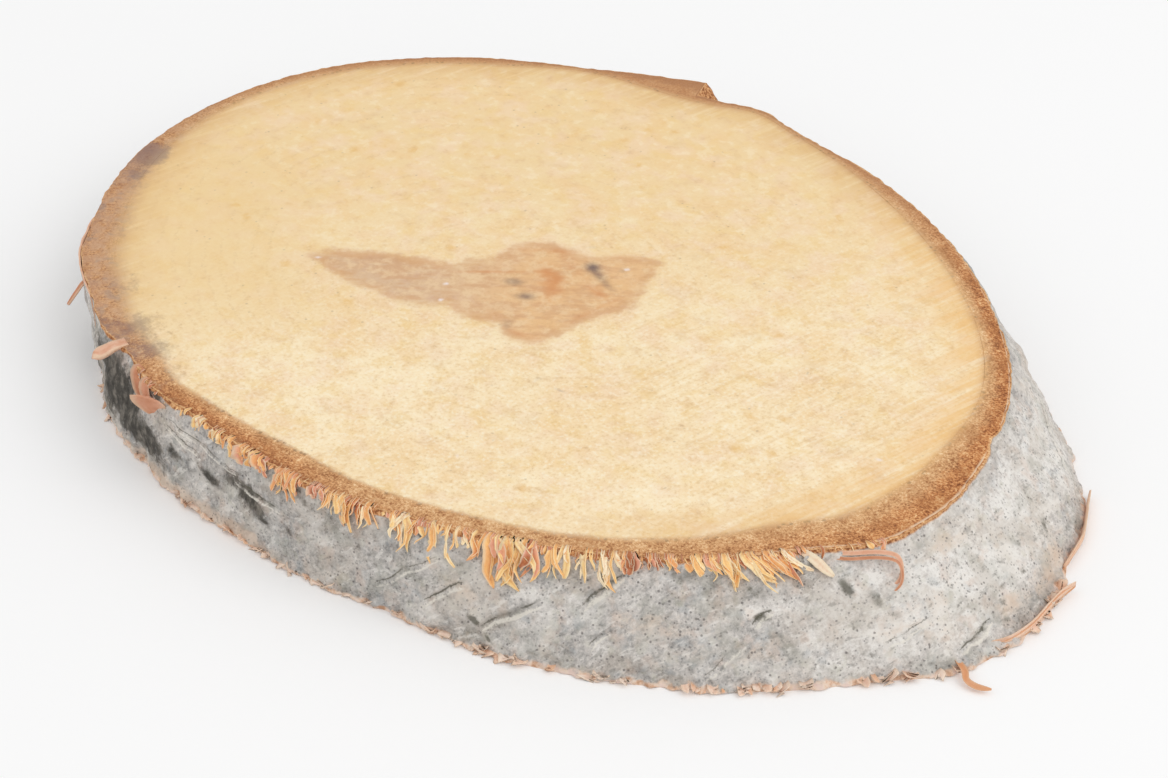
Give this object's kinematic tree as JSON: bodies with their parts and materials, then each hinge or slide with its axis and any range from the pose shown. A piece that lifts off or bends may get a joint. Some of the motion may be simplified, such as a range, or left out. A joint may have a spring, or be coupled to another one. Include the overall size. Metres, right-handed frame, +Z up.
{
  "type": "wood slice",
  "caption": "Oval slice sawn at a slant from a birch branch, with grey bark and torn bark fibres at the rims, lying flat.",
  "frame": {"origin": "middle of the footprint box, on the surface that the slice lies on", "axes": "+X along the long axis of the oval, towards the end where the bark wall leans out; +Z up, from the lower to the upper sawn face"},
  "size_m": [0.1232, 0.091, 0.01],
  "materials": {
    "birch": "sawn, matt, with grey bark and orange-brown torn inner bark at the rim"
  },
  "bodies": {
    "root": {"wood_slice": "birch"}
  },
  "joints": []
}
